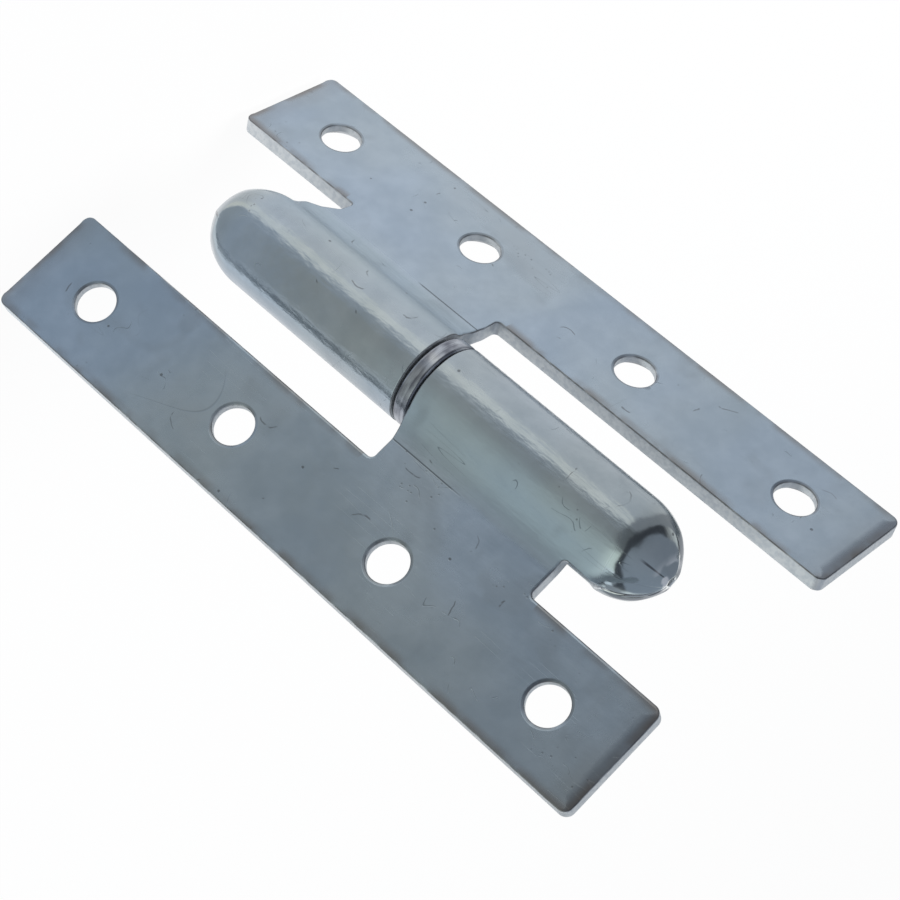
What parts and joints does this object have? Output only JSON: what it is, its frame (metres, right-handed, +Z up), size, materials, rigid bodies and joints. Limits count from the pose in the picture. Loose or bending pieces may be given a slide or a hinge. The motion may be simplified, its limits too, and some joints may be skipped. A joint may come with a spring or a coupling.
{
  "type": "lift off hinge",
  "caption": "Zinc plated sheet steel lift off hinge: flat leaves with screw holes, rolled barrels with domed ends, a fixed pin and a loose bearing ring, for a door that lifts off.",
  "frame": {"origin": "middle of the frame leaf's row of screw holes, on the outer face that seats on the door frame", "axes": "+Z up along the pin towards the door leaf's domed end, -Y out of the frame leaf's seating face, +X from the frame leaf towards the pin"},
  "size_m": [0.0771, 0.0273, 0.1416],
  "materials": {
    "zinc_plate": "blue passivated zinc plate on stamped sheet steel, satin with fine scratches",
    "pin_steel": "turned steel, lightly oiled",
    "ring_steel": "bright plated turned ring"
  },
  "bodies": {
    "frame_side": {"frame_leaf": "zinc_plate", "hinge_pin": "pin_steel"},
    "ring": {"bearing_ring": "ring_steel"},
    "door_side": {"door_leaf": "zinc_plate"}
  },
  "joints": [
    {"name": "leaf_swing", "type": "hinge", "parent": "frame_side", "child": "ring", "pos_m": [0.02875, 0.0037, -0.0008], "axis": [0, 0, 1], "range_deg": [-183.5, 151.5]},
    {"name": "lift_off", "type": "slide", "parent": "ring", "child": "door_side", "axis": [0, 0, 1], "range_m": [0, 0.045]}
  ]
}
